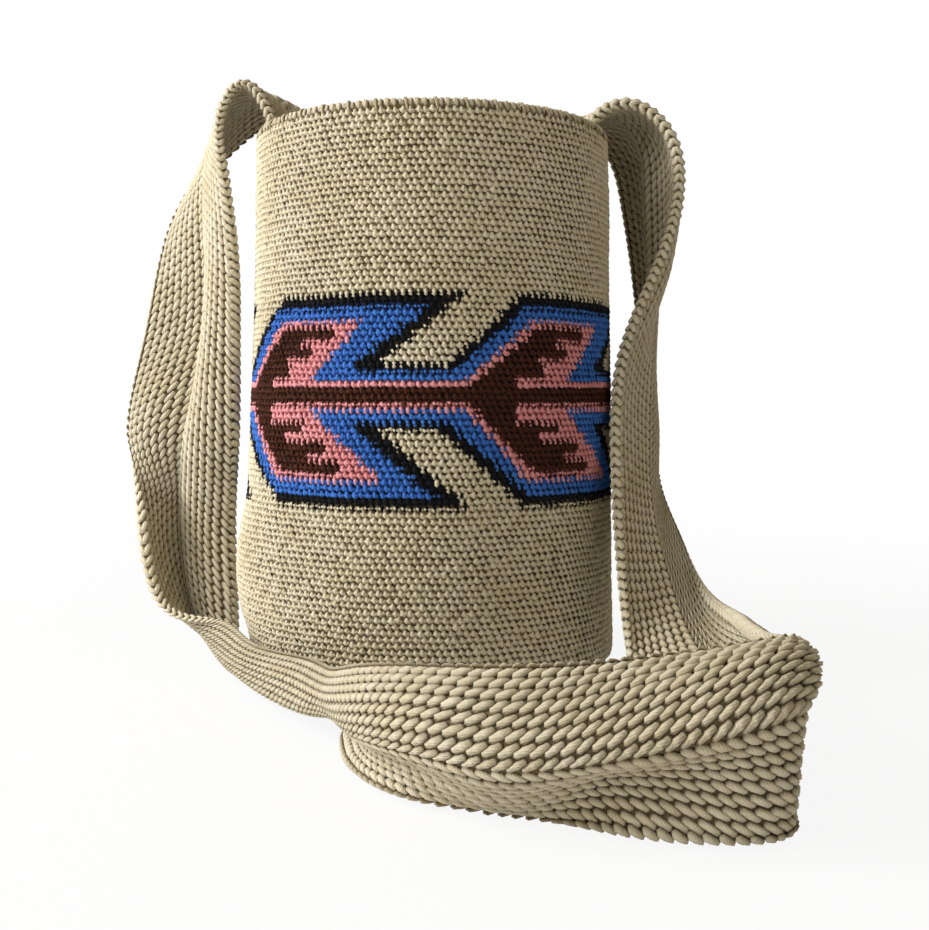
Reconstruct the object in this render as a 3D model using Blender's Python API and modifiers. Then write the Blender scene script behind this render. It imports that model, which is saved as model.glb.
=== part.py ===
# Crocheted mochila bag standing on a table, its wide strap pulled to the front.
# Metres, +Z up. The origin is the middle of the round base, on the table, and -Y is the front.
import math

import bmesh
import bpy
import numpy as np
from mathutils import Vector
from mathutils.geometry import delaunay_2d_cdt

# Bag
BAG_RADIUS = 0.084
BAG_HEIGHT = 0.26
WALL = 0.004
BASE_RADIUS = 0.07
BASE_CORNER = 0.016
BELLY = 0.002
BULGE = 0.008
BULGE_HEIGHT = 0.055
BULGE_SPREAD = 0.034
SIDES = 40
ROW_GROUP = 0.0096
ROW_GROOVE = 0.0007

# Edging of the mouth, with a whip stitch between each pair of thin stretches
RIM_ROPE = 0.004
WHIP_STITCH_RISE = 0.0005
WHIP_STITCHES = 41

# Band of colours: stitches round the bag, the height of a row, and the band's middle line
STITCHES = 170
ROW = 0.00274
BAND_MIDDLE = 0.135
BAND_RECESS = 0.0008
FIELD_THICKNESS = 0.0009
GAP = 0.0003

# Strap
STRAP_HALF_WIDTH = 0.039
STRAP_THICKNESS = 0.0062
STRAP_GROOVE = 0.3
ROPES_A_HALF = 4
STRAP_STEPS = 88
CROWDING = 1.1
THINNEST = 0.3
CREASE_PINCH = 1.2
CREASE_ROUNDING = 0.9
LAP = 0.024
SEAT = 0.0006
END_TURN = 21.0
SEAM_YARN = 0.0012

# The bag's size that the strap's points below were chosen for
CHOSEN_RADIUS = 0.084
CHOSEN_HEIGHT = 0.26

# The strap's way from its left end over the table to its right end, in centimetres:
# near edge, centre crease, far edge, and how each half bows when its edge lies close to the crease
WAY = [
    ((-9.2, -1.1, 28.5), (-9.0, 2.9, 28.9), (-7.6, 6.5, 28.6), 1, 1),
    ((-10.2, -1.2, 26.8), (-11.0, 2.6, 27.2), (-10.4, 6.4, 27.4), 1, 1),
    ((-10.0, -1.5, 24.8), (-11.6, 2.3, 24.8), (-12.6, 6.0, 25.1), 1, 1),
    ((-9.3, -1.7, 20.4), (-11.3, 1.5, 20.5), (-14.2, 4.0, 20.9), 1, 1),
    ((-9.1, -1.9, 16.4), (-11.25, 0.9, 16.3), (-14.8, 2.5, 16.5), 1, 1),
    ((-9.3, -1.0, 11.4), (-12.3, 0.9, 11.3), (-15.5, 2.4, 11.6), 1, 1),
    ((-9.9, 1.2, 6.8), (-13.0, 2.9, 6.8), (-14.3, -0.2, 7.1), 1, -0.3),
    ((-9.6, 0.3, 3.0), (-12.4, 2.1, 3.3), (-12.9, -1.4, 3.4), 1, -0.2),
    ((-8.9, -2.2, 0.7), (-11.1, 0.1, 1.0), (-10.4, -2.4, 2.95), 0.4, -0.3),
    ((-5.8, -6.5, 0.5), (-8.9, -4.6, 0.65), (-8.1, -5.3, 2.6), 0.4, -0.3),
    ((-1.4, -10.2, 0.38), (-4.6, -12.2, 0.7), (-4.6, -9.3, 2.5), 1, -0.7),
    ((-0.6, -13.4, 0.3), (-3.2, -15.7, 1.3), (-3.4, -12.3, 2.9), 1, -1),
    ((-1.1, -17.2, 0.25), (-1.7, -19.8, 2.1), (-1.8, -16.5, 4.0), 1, -1),
    ((0.5, -18.5, 0.22), (0.26, -21.8, 2.3), (0.1, -18.9, 4.5), 1, -1),
    ((2.65, -19.7, 0.2), (2.6, -23.0, 2.3), (2.68, -20.2, 4.8), 1, -1),
    ((6.6, -22.0, 0.13), (7.0, -23.5, 3.0), (7.0, -20.4, 5.05), 1, -1),
    ((11.2, -22.0, 0.08), (11.5, -22.4, 4.0), (12.1, -19.3, 5.45), 1, -1),
    ((11.6, -20.3, 0.1), (12.0, -20.3, 3.9), (12.2, -17.4, 5.3), 1, -0.4),
    ((11.2, -17.1, 0.16), (12.1, -17.0, 3.3), (11.8, -14.9, 4.9), 1, -1),
    ((9.6, -14.0, 0.16), (11.8, -13.2, 2.6), (12.1, -10.8, 4.8), 1, -1),
    ((8.5, -11.2, 0.8), (11.2, -9.6, 2.9), (12.1, -6.6, 4.9), 1, -1),
    ((8.1, -9.0, 3.0), (10.7, -6.3, 4.7), (11.75, -3.0, 6.6), 1, -1),
    ((8.1, -7.2, 6.1), (10.2, -4.0, 7.4), (11.2, -0.4, 8.6), 1, 1),
    ((8.2, -5.0, 10.2), (10.2, -1.6, 10.8), (11.0, 2.1, 11.2), 1, 1),
    ((8.7, -3.2, 14.9), (10.6, 0.3, 14.9), (10.9, 4.1, 15.1), 1, 1),
    ((10.6, -1.5, 19.5), (10.9, 2.0, 19.6), (10.6, 5.5, 19.7), 1, 1),
    ((11.9, -1.0, 23.6), (10.9, 2.6, 24.0), (10.0, 6.0, 24.0), 1, 1),
    ((11.2, -1.0, 26.4), (10.4, 2.7, 26.9), (8.9, 6.1, 26.9), 1, 1),
    ((9.6, -1.1, 27.5), (8.9, 2.8, 28.0), (7.0, 6.3, 28.0), 1, 1),
]

# The band's motif, (stitches from the arrow's tip, rows above the middle line), painted in this order
MOTIF_STITCHES = 38
STRETCHED_STITCHES = 47
FIRST_TIP = -158.9
UPPER_EDGES = (1.1, 15.2)
LOWER_EDGES = (-1.1, -16.3)
MOTIF = [
    ("black_upper", [(0, 1.1), (0, 15.2), (38, 15.2), (38, 1.1)]),
    ("black_lower", [(0, -16.3), (0, -1.1), (38, -1.1), (38, -16.3)]),
    ("ground", [(25.3, 5.2), (34.4, 5.2), (44, 15.2), (35.2, 15.2)]),
    ("ground", [(25.3, -5), (37, -16.3), (45.4, -16.3), (33.2, -5)]),
    ("blue_upper", [(-1.9, 1.1), (-1.9, 4), (7.9, 14.1), (31.8, 14.1), (21.4, 4.8), (22.2, 4),
                    (36.1, 4), (36.1, 1.1)]),
    ("blue_lower", [(-3.2, -1.1), (-3.2, -3.8), (8.3, -14.5), (32.1, -14.5), (22, -4.8), (22.8, -3.8),
                    (34.8, -3.8), (34.8, -1.1)]),
    ("pink_upper", [(-1.6, 1.1), (8.9, 11.7), (23.7, 11.7), (15.4, 2.1), (37.8, 2.1), (37.8, 1.1)]),
    ("pink_lower", [(-1.4, -1.1), (8.2, -12.8), (26.6, -12.8), (15.2, -2.1), (37.8, -2.1), (37.8, -1.1)]),
    ("brown_stem", [(0, -1.1), (0, 1.1), (38, 1.1), (38, -1.1)]),
    ("brown_stem", [(-0.2, 1.1), (9.9, 10.8), (18.9, 10.8), (18.9, 9.3), (13.3, 9.3), (13.3, 8),
                    (15.2, 8), (15.2, 6.3), (10.4, 6.3), (10.4, 5), (11.3, 5), (11.3, 3), (6.6, 3),
                    (6.6, 1.1)]),
    ("brown_stem", [(-0.2, -1.1), (6.6, -1.1), (6.6, -3.8), (14.1, -3.8), (14.1, -5.5), (10.6, -5.5),
                    (10.6, -7.2), (18, -7.2), (18, -9), (14.6, -9), (14.6, -10.2), (20.2, -10.2),
                    (20.2, -11.9), (9.5, -11.9)]),
]

# Yarn colours, as red, green and blue
CREAM = (0.62, 0.53, 0.38)
BLUE = (0.035, 0.12, 0.48)
PINK = (0.75, 0.28, 0.30)
BROWN = (0.09, 0.03, 0.012)
BLACK = (0.012, 0.012, 0.018)


def emptyScene():
    for item in list(bpy.data.objects):
        bpy.data.objects.remove(item)


def yarnMaterial(name, colour):
    material = bpy.data.materials.new(name)
    material.use_nodes = True
    shader = material.node_tree.nodes["Principled BSDF"]
    shader.inputs["Base Color"].default_value = (*colour, 1.0)
    shader.inputs["Roughness"].default_value = 0.85
    shader.inputs["Metallic"].default_value = 0.0
    return material


def addObject(name, data, material, collection):
    item = bpy.data.objects.new(name, data)
    collection.objects.link(item)
    if data.materials:
        data.materials[0] = material
    else:
        data.materials.append(material)
    return item


def evaluatedMesh(item):
    """The mesh with the object's modifiers applied."""
    graph = bpy.context.evaluated_depsgraph_get()
    return bpy.data.meshes.new_from_object(item.evaluated_get(graph))


def bandLow():
    return BAND_MIDDLE + LOWER_EDGES[1] * ROW


def bandHigh():
    return BAND_MIDDLE + UPPER_EDGES[1] * ROW


def bulgeAt(angle, z):
    """How far the soft wall sags outwards on the left: most at the bulge's height, and fading
    evenly to nothing over the height of the band."""
    level = min(z, bandLow())
    amount = math.exp(-((level - BULGE_HEIGHT) / BULGE_SPREAD) ** 2)
    amount *= min(1.0, max(0.0, z / (BULGE_HEIGHT * 0.6)))
    amount *= min(1.0, max(0.0, (bandHigh() - z) / (bandHigh() - bandLow())))
    left = max(0.0, -math.cos(angle)) ** 2
    return BULGE * amount * left


def rowsBetween(low, high):
    """Heights of the grooves between groups of crochet rows, with the crests between them."""
    count = max(1, round((high - low) / ROW_GROUP))
    step = (high - low) / count
    return [(low + step * (i + 0.5 * j), j == 0) for i in range(count) for j in (0, 1)]


def outerRadius(z):
    """Radius of the wall's crests: the round lower corner, a slight belly, then straight to the mouth."""
    if z < BASE_CORNER:
        rise = max(0.0, z) / BASE_CORNER
        return BASE_RADIUS + (BAG_RADIUS + BELLY - BASE_RADIUS) * math.sqrt(1.0 - (1.0 - rise) ** 2)
    share = (z - BASE_CORNER) / (BAG_HEIGHT - BASE_CORNER)
    return BAG_RADIUS + BELLY * (1.0 - share)


def bodyProfile():
    """Half section: inner floor, inner wall up, top edge, outer wall down, base."""
    top = BAG_HEIGHT - RIM_ROPE - 2 * WHIP_STITCH_RISE - GAP
    low = bandLow() - GAP
    high = bandHigh() + GAP
    points = [(0.0, WALL), (BASE_RADIUS - WALL, WALL)]
    for z in (BASE_CORNER * 0.6, BASE_CORNER + WALL, BULGE_HEIGHT * 0.65, BULGE_HEIGHT, BULGE_HEIGHT * 1.35,
              low, high, top):
        points.append((outerRadius(z) - WALL, z))
    points.append((outerRadius(top), top))
    outer = []
    for z, groove in rowsBetween(high + ROW_GROUP * 0.4, top - ROW_GROUP * 0.3):
        outer.append((outerRadius(z) - (ROW_GROOVE if groove else 0.0), z))
    outer.reverse()
    points += outer
    points.append((outerRadius(high), high))
    points.append((outerRadius(high) - BAND_RECESS, high))
    points.append((outerRadius(low) - BAND_RECESS, low))
    points.append((outerRadius(low), low))
    outer = []
    for z, groove in rowsBetween(BASE_CORNER, low - ROW_GROUP * 0.4):
        outer.append((outerRadius(z) - (ROW_GROOVE if groove else 0.0), z))
    outer.reverse()
    points += outer
    for share in (0.55, 0.22, 0.0):
        points.append((outerRadius(BASE_CORNER * share), BASE_CORNER * share))
    points.append((0.0, 0.0))
    return points


def makeBody(collection, material):
    """The crocheted tube and its flat base, turned as one shell and then sagged."""
    profile = bmesh.new()
    verts = [profile.verts.new((radius, 0.0, z)) for radius, z in bodyProfile()]
    for first, second in zip(verts, verts[1:]):
        profile.edges.new((first, second))
    guide = bpy.data.meshes.new("body_profile")
    profile.to_mesh(guide)
    profile.free()
    turned = addObject("body_turned", guide, material, collection)
    screw = turned.modifiers.new("Turn", "SCREW")
    screw.steps = SIDES
    screw.render_steps = SIDES
    screw.use_merge_vertices = True
    screw.merge_threshold = 0.00001
    mesh = evaluatedMesh(turned)
    bpy.data.objects.remove(turned)
    for vertex in mesh.vertices:
        angle = math.atan2(vertex.co.y, vertex.co.x)
        radius = math.hypot(vertex.co.x, vertex.co.y)
        if radius > BASE_RADIUS * 0.5:
            radius += bulgeAt(angle, vertex.co.z)
            vertex.co.x = radius * math.cos(angle)
            vertex.co.y = radius * math.sin(angle)
    mesh.shade_smooth()
    return addObject("bag_body", mesh, material, collection)


def onWall(turn, z, offset):
    """A point on the flat-sided outer wall, moved outwards by the offset."""
    step = 2 * math.pi / SIDES
    side = math.floor(turn / step + 1e-6)
    share = turn / step - side
    corners = []
    for angle in (side * step, (side + 1) * step):
        radius = outerRadius(z) + bulgeAt(angle, z) + offset
        corners.append(Vector((radius * math.cos(angle), radius * math.sin(angle), z)))
    return corners[0].lerp(corners[1], share)


def motifPolygons():
    """The motif laid round the bag: name and outline in (degrees, metres), two repeats at the front
    as worked and two stretched ones behind."""
    degrees = 360.0 / STITCHES
    tip = FIRST_TIP
    polygons = []
    for repeat in (MOTIF_STITCHES, MOTIF_STITCHES, STRETCHED_STITCHES, STRETCHED_STITCHES):
        for layer, (name, outline) in enumerate(MOTIF):
            stretched = [(tip + x * repeat / MOTIF_STITCHES * degrees, BAND_MIDDLE + y * ROW)
                         for x, y in outline]
            for turn in (-360, 0, 360, 720):
                polygons.append((layer, name, [(x + turn, z) for x, z in stretched]))
        tip += repeat * degrees
    polygons.sort(key=lambda polygon: polygon[0])
    return polygons


def paintedTriangles():
    """The flat band cut along every colour's outline and every side of the wall, with its colours."""
    polygons = motifPolygons()
    points = []
    faces = []
    for _, _, outline in polygons:
        corners = [Vector((x * BAG_RADIUS * math.pi / 180, z)) for x, z in outline]
        turning = sum(a.cross(b) for a, b in zip(corners, corners[1:] + corners[:1]))
        if turning < 0:
            corners.reverse()
        faces.append(list(range(len(points), len(points) + len(corners))))
        points += corners
    edges = []
    for side in range(SIDES + 1):
        x = 2 * math.pi * BAG_RADIUS * side / SIDES
        edges.append((len(points), len(points) + 1))
        points += [Vector((x, bandLow())), Vector((x, bandHigh()))]
    flat, _, triangles, _, _, sources = delaunay_2d_cdt(points, edges, faces, 0, 1e-6)
    colours = []
    around = 2 * math.pi * BAG_RADIUS
    kept = []
    for triangle, source in zip(triangles, sources):
        middle = sum(flat[i].x for i in triangle) / len(triangle)
        painted = [index for index in source if index < len(polygons)]
        if 0.0 < middle < around and painted:
            kept.append(triangle)
            colours.append(polygons[max(painted)][1])
    return flat, kept, colours


def makeField(name, flat, triangles, collection, material):
    """One colour of the band: its area shrunk by half the gap, wrapped on the wall and thickened."""
    bm = bmesh.new()
    verts = {}
    for triangle in triangles:
        corners = []
        for index in triangle:
            if index not in verts:
                verts[index] = bm.verts.new((flat[index].x, flat[index].y, 0.0))
            corners.append(verts[index])
        bm.faces.new(corners)
    for vert in bm.verts:
        turn = vert.co.x / BAG_RADIUS
        vert.co = (BAG_RADIUS * math.cos(turn), BAG_RADIUS * math.sin(turn), vert.co.y)
    bmesh.ops.remove_doubles(bm, verts=bm.verts, dist=1e-6)
    bmesh.ops.recalc_face_normals(bm, faces=bm.faces)
    bmesh.ops.dissolve_limit(bm, angle_limit=math.radians(1), verts=bm.verts, edges=bm.edges)
    rim = bmesh.ops.inset_region(bm, faces=bm.faces, thickness=GAP / 2, use_boundary=True,
                                 use_even_offset=True)
    bmesh.ops.delete(bm, geom=rim["faces"], context="FACES")
    inner = BAND_RECESS - GAP
    for vert in bm.verts:
        turn = math.atan2(vert.co.y, vert.co.x) % (2 * math.pi)
        vert.co = onWall(turn, vert.co.z, -inner)
    bmesh.ops.triangulate(bm, faces=bm.faces)
    grown = bmesh.ops.extrude_face_region(bm, geom=list(bm.faces))
    for vert in grown["geom"]:
        if isinstance(vert, bmesh.types.BMVert):
            turn = math.atan2(vert.co.y, vert.co.x)
            vert.co.x += FIELD_THICKNESS * math.cos(turn)
            vert.co.y += FIELD_THICKNESS * math.sin(turn)
    bmesh.ops.recalc_face_normals(bm, faces=bm.faces)
    mesh = bpy.data.meshes.new(name)
    bm.to_mesh(mesh)
    bm.free()
    return addObject(name, mesh, material, collection)


def makeRim(collection, material):
    """The rope edging of the mouth: a ring that is thicker at each whip stitch."""
    thin = RIM_ROPE / 2
    height = BAG_HEIGHT - thin - WHIP_STITCH_RISE
    middle = BAG_RADIUS - WALL + thin + WHIP_STITCH_RISE
    bpy.ops.mesh.primitive_torus_add(major_segments=2 * WHIP_STITCHES, minor_segments=8,
                                     major_radius=middle, minor_radius=thin, location=(0, 0, 0))
    ring = bpy.context.object
    step = 2 * math.pi / (2 * WHIP_STITCHES)
    for vertex in ring.data.vertices:
        turn = math.atan2(vertex.co.y, vertex.co.x)
        centre = Vector((middle * math.cos(turn), middle * math.sin(turn), 0.0))
        wrapped = round(turn / step) % 2
        outwards = vertex.co - centre
        vertex.co = centre + outwards * (1.0 + wrapped * WHIP_STITCH_RISE / thin)
        vertex.co.z += height
    mesh = ring.data
    ring.name = "ring"
    for old in list(ring.users_collection):
        old.objects.unlink(ring)
    bpy.data.objects.remove(ring)
    mesh.shade_smooth()
    return addObject("rim_edging", mesh, material, collection)


def endStation(side, radius, z):
    """The strap's three points where it lies along the inside of the mouth."""
    reach = math.degrees(STRAP_HALF_WIDTH / radius)
    points = []
    for turn in (END_TURN - reach, END_TURN, END_TURN + reach):
        angle = math.radians(turn)
        points.append((side * radius * math.cos(angle), radius * math.sin(angle), z))
    return (*points, -1, -1)


def strapStations():
    """All stations in metres: the lapped left end, the way round, and the lapped right end."""
    seat = BAG_RADIUS - WALL - SEAT - STRAP_THICKNESS / 2
    wide = BAG_RADIUS / CHOSEN_RADIUS
    high = BAG_HEIGHT / CHOSEN_HEIGHT
    rest = 0.0035
    stations = []
    for z, radius in ((BAG_HEIGHT - LAP, seat), (BAG_HEIGHT - 0.004, seat), (BAG_HEIGHT + 0.006, seat + 0.0015)):
        stations.append(endStation(-1, radius, z))
    for near, centre, far, bowNear, bowFar in WAY:
        points = []
        for x, y, z in (near, centre, far):
            z /= 100
            points.append((x * wide / 100, y * wide / 100, z if z < rest else rest + (z - rest) * high))
        stations.append((*points, bowNear, bowFar))
    for z, radius in ((BAG_HEIGHT + 0.006, seat + 0.0015), (BAG_HEIGHT - 0.004, seat), (BAG_HEIGHT - LAP, seat)):
        stations.append(endStation(1, radius, z))
    return stations


def smoothThrough(knots, values, at):
    """Natural cubic spline through the values at the knots."""
    count = len(knots)
    gaps = np.diff(knots)
    system = np.zeros((count, count))
    right = np.zeros((count, values.shape[1]))
    system[0, 0] = system[-1, -1] = 1.0
    for i in range(1, count - 1):
        system[i, i - 1] = gaps[i - 1]
        system[i, i] = 2 * (gaps[i - 1] + gaps[i])
        system[i, i + 1] = gaps[i]
        right[i] = 6 * ((values[i + 1] - values[i]) / gaps[i] - (values[i] - values[i - 1]) / gaps[i - 1])
    bend = np.linalg.solve(system, right)
    k = np.clip(np.searchsorted(knots, at, side="right") - 1, 0, count - 2)
    gap = gaps[k][:, None]
    a = (knots[k + 1] - at)[:, None] / gap
    b = 1.0 - a
    straight = a * values[k] + b * values[k + 1]
    return straight + ((a**3 - a) * bend[k] + (b**3 - b) * bend[k + 1]) * gap**2 / 6


def unit(vectors):
    return vectors / np.linalg.norm(vectors, axis=1, keepdims=True)


class Ribbon:
    """The strap's middle surface, from its stations: along is 0 to 1, across is -1 (near) to 1 (far)."""

    def __init__(self, steps):
        stations = strapStations()
        centre = np.array([station[1] for station in stations])
        self.knots = np.concatenate([[0.0], np.cumsum(np.linalg.norm(np.diff(centre, axis=0), axis=1))])
        at = np.linspace(0.0, self.knots[-1], steps + 1)
        self.centre = smoothThrough(self.knots, centre, at)
        along = unit(np.gradient(self.centre, axis=0))
        self.reach = {}
        self.bow = {}
        for side, index in ((-1, 0), (1, 2)):
            edge = np.array([station[index] for station in stations])
            sign = np.array([station[3 if side < 0 else 4] for station in stations])
            spread = edge - centre
            length = np.linalg.norm(spread, axis=1)
            held = np.minimum(length, STRAP_HALF_WIDTH)
            bow = sign * np.sqrt(0.375 * (STRAP_HALF_WIDTH - held) * held)
            self.reach[side] = smoothThrough(self.knots, spread * (held / length)[:, None], at)
            height = smoothThrough(self.knots, bow[:, None], at)
            self.bow[side] = unit(np.cross(along, -side * self.reach[side])) * height

        near = unit(self.reach[-1])
        far = unit(self.reach[1])
        halfFold = np.arccos(np.clip((near * far).sum(axis=1), -0.99, 0.97)) / 2
        soft = CREASE_ROUNDING * STRAP_THICKNESS * np.cos(halfFold) / np.sin(halfFold) ** 2
        self.soft = np.clip(soft / STRAP_HALF_WIDTH, 0.04, 0.5)

    def half(self, row, side, share):
        lift = 4 * share * (1 - share)
        return self.centre[row] + self.reach[side][row] * share + self.bow[side][row] * lift

    def point(self, row, across):
        """A point of the surface; within the soft stretch at the crease both halves are blended."""
        soft = self.soft[row]
        if abs(across) >= soft:
            return self.half(row, 1 if across > 0 else -1, abs(across))
        near = self.half(row, -1, soft)
        far = self.half(row, 1, soft)
        share = (across / soft + 1) / 2
        return near * (1 - share) ** 2 + self.centre[row] * 2 * share * (1 - share) + far * share**2


def squeezed(points, columns):
    """1 where the ribbon lies open, less where a fold crowds it, so that its faces stay apart."""
    along = np.gradient(points, axis=0)
    across = np.gradient(points, axis=1)
    area = np.linalg.norm(np.cross(along, across), axis=2)
    step = np.linalg.norm(along[:, columns // 2], axis=1)[:, None]
    crowded = area / (step * 2 * STRAP_HALF_WIDTH / columns)
    return np.clip(CROWDING * crowded, THINNEST, 1.0)


def makeStrap(collection, material):
    """The woven strap: a grid laid along the ribbon, thickened, with grooves between its ropes."""
    ribbon = Ribbon(STRAP_STEPS)
    columns = 4 * ROPES_A_HALF
    points = np.array([[ribbon.point(row, 2 * column / columns - 1) for column in range(columns + 1)]
                       for row in range(STRAP_STEPS + 1)])
    thickness = squeezed(points, columns)
    for column in range(columns // 4, 3 * columns // 4 + 1):
        thickness[:, column] *= 1.0 - CREASE_PINCH * ribbon.soft
    bm = bmesh.new()
    bmesh.ops.create_grid(bm, x_segments=STRAP_STEPS, y_segments=columns, size=0.5)
    weight = bm.verts.layers.deform.verify()
    for vert in bm.verts:
        row = round((vert.co.x + 0.5) * STRAP_STEPS)
        column = round((vert.co.y + 0.5) * columns)
        vert.co = points[row, column]
        groove = STRAP_GROOVE if column % 2 == 0 else 0.0
        vert[weight][0] = (1.0 - groove) * thickness[row, column]
    mesh = bpy.data.meshes.new("strap")
    bm.to_mesh(mesh)
    bm.free()
    strap = addObject("strap", mesh, material, collection)
    strap.vertex_groups.new(name="ropes")
    thick = strap.modifiers.new("Thickness", "SOLIDIFY")
    thick.thickness = STRAP_THICKNESS
    thick.offset = 0.0
    thick.vertex_group = "ropes"
    mesh.shade_smooth()
    return strap


def makeSeam(name, side, collection, material):
    """The sewing yarn along the strap's lapped end, inside the mouth."""
    wall = BAG_RADIUS - WALL - SEAT - SEAM_YARN
    z = BAG_HEIGHT - LAP - SEAM_YARN - SEAT
    reach = math.degrees(STRAP_HALF_WIDTH / wall)
    curve = bpy.data.curves.new(name, "CURVE")
    curve.dimensions = "3D"
    curve.bevel_depth = SEAM_YARN
    curve.bevel_resolution = 1
    curve.resolution_u = 1
    curve.render_resolution_u = 0
    curve.use_fill_caps = True
    count = 9
    spline = curve.splines.new("POLY")
    spline.points.add(count - 1)
    for i, point in enumerate(spline.points):
        angle = math.radians(END_TURN + reach * (2 * i / (count - 1) - 1))
        point.co = (side * wall * math.cos(angle), wall * math.sin(angle), z, 1.0)
    return addObject(name, curve, material, collection)


def makeBag():
    emptyScene()
    bag = bpy.data.collections.new("mochila_bag")
    bpy.context.scene.collection.children.link(bag)
    cream = yarnMaterial("cream yarn", CREAM)
    makeBody(bag, cream)
    makeRim(bag, yarnMaterial("edging yarn", CREAM))
    yarns = {
        "black": yarnMaterial("black yarn", BLACK),
        "blue": yarnMaterial("blue yarn", BLUE),
        "pink": yarnMaterial("pink yarn", PINK),
        "brown": yarnMaterial("brown yarn", BROWN),
    }
    flat, triangles, colours = paintedTriangles()
    for name in sorted(set(colours) - {"ground"}):
        chosen = [triangle for triangle, colour in zip(triangles, colours) if colour == name]
        makeField(name, flat, chosen, bag, yarns[name.split("_")[0]])
    makeStrap(bag, yarnMaterial("strap yarn", CREAM))
    seam = yarnMaterial("sewing yarn", CREAM)
    makeSeam("left_seam", -1, bag, seam)
    makeSeam("right_seam", 1, bag, seam)


makeBag()
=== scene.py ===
# Looks of the crocheted mochila bag, in metres, +Z up and -Y to the front as in the solids
import math

import bmesh
import bpy
import numpy as np
from mathutils import Matrix, Vector


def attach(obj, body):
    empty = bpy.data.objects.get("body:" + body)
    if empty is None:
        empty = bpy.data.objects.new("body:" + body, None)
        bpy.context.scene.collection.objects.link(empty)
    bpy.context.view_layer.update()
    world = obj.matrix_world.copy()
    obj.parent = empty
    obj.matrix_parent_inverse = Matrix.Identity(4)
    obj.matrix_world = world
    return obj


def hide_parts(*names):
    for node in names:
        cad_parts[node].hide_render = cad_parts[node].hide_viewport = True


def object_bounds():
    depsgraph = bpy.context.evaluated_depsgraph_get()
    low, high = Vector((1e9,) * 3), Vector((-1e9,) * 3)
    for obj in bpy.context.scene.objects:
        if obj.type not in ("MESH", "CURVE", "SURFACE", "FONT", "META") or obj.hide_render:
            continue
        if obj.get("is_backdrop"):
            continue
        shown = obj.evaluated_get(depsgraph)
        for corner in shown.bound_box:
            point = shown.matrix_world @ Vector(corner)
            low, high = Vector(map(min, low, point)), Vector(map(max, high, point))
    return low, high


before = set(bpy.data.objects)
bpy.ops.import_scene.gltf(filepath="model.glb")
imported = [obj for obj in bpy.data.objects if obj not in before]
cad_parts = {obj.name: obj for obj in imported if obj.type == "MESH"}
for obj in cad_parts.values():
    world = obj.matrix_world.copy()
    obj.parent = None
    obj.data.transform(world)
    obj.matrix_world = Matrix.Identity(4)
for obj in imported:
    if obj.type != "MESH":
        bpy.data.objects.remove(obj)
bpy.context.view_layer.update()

mm = 0.001
print("frame loaded:", len(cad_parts), "nodes")


def newObject(name, data):
    item = bpy.data.objects.new(name, data)
    bpy.context.scene.collection.objects.link(item)
    return item


def newMesh(name, bm):
    mesh = bpy.data.meshes.new(name)
    bm.to_mesh(mesh)
    bm.free()
    return mesh


# Camera, at the photograph's angle; pixels are those of a 929 x 930 picture
cameraPlan = {
    "place": (0.0155, -0.57, 0.135),
    "focalPixels": 1161.0,
    "pictureHeight": 930.0,
    "horizonAboveMiddle": 71.0,
    "sensor": 36.0,
    "clipStart": 0.01,
}


def makeCamera(plan):
    data = bpy.data.cameras.new("photo_view")
    data.sensor_width = plan["sensor"]
    data.lens = plan["focalPixels"] / plan["pictureHeight"] * plan["sensor"]
    data.shift_y = -plan["horizonAboveMiddle"] / plan["pictureHeight"]
    data.clip_start = plan["clipStart"]
    camera = newObject("photo_view", data)
    camera.location = plan["place"]
    camera.rotation_euler = (math.radians(90), 0.0, 0.0)
    bpy.context.scene.camera = camera


bpy.context.scene.view_settings.view_transform = "Standard"
makeCamera(cameraPlan)
print("camera set")


# The yarn's surface: plies in millimetres of yarn, all else in metres
surfacePlan = {
    "plyWanderScale": 0.9,
    "plyWander": 0.5,
    "plyRoundness": 0.6,
    "betweenPlies": 0.14,  # painted shade between the plies: share of the hollow shade colour there
    "fibreScale": 2600.0,
    "tuftScale": 700.0,
    "fuzzRoughness": 0.6,
    "tuftRelief": 0.6,
    "tuftRange": (0.3, 0.7),  # of the noise, from dark to light
    "patchScale": 28.0,
    "patchRange": (0.32, 0.68),
    "patchShare": 0.35,  # the three shares together make a yarn lighter
    "stitchShare": 0.4,
    "tuftShare": 0.25,
    "barRoundness": 0.5,
    "backingShown": 0.35,  # of the strands' colour; the rest is painted hollow shade
    "backingDepth": 0.0009,
    "plyDepth": 0.0002,
    "plyStrength": 0.65,
    "fuzzDepth": 0.00008,
    "fuzzStrength": 0.7,
    "roughness": (0.78, 0.96),
    "sheenRoughness": 0.5,
    "specular": 0.15,
}


# Shader groups that several yarns share
def newGroup(name, inputs, outputs):
    group = bpy.data.node_groups.new(name, "ShaderNodeTree")
    for socketName, kind, value in inputs:
        socket = group.interface.new_socket(socketName, in_out="INPUT", socket_type="NodeSocket" + kind)
        if value is not None:
            socket.default_value = value
    for socketName, kind in outputs:
        group.interface.new_socket(socketName, in_out="OUTPUT", socket_type="NodeSocket" + kind)
    return group, group.nodes.new("NodeGroupInput"), group.nodes.new("NodeGroupOutput")


def mathNode(tree, operation, *values):
    node = tree.nodes.new("ShaderNodeMath")
    node.operation = operation
    for socket, value in zip(node.inputs, values):
        if isinstance(value, (int, float)):
            socket.default_value = value
        else:
            tree.links.new(value, socket)
    return node.outputs[0]


def halfWaves(tree, value):
    # 0 at every whole number and 1 half way between
    return mathNode(tree, "ABSOLUTE", mathNode(tree, "SINE", mathNode(tree, "MULTIPLY", value, math.pi)))


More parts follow.
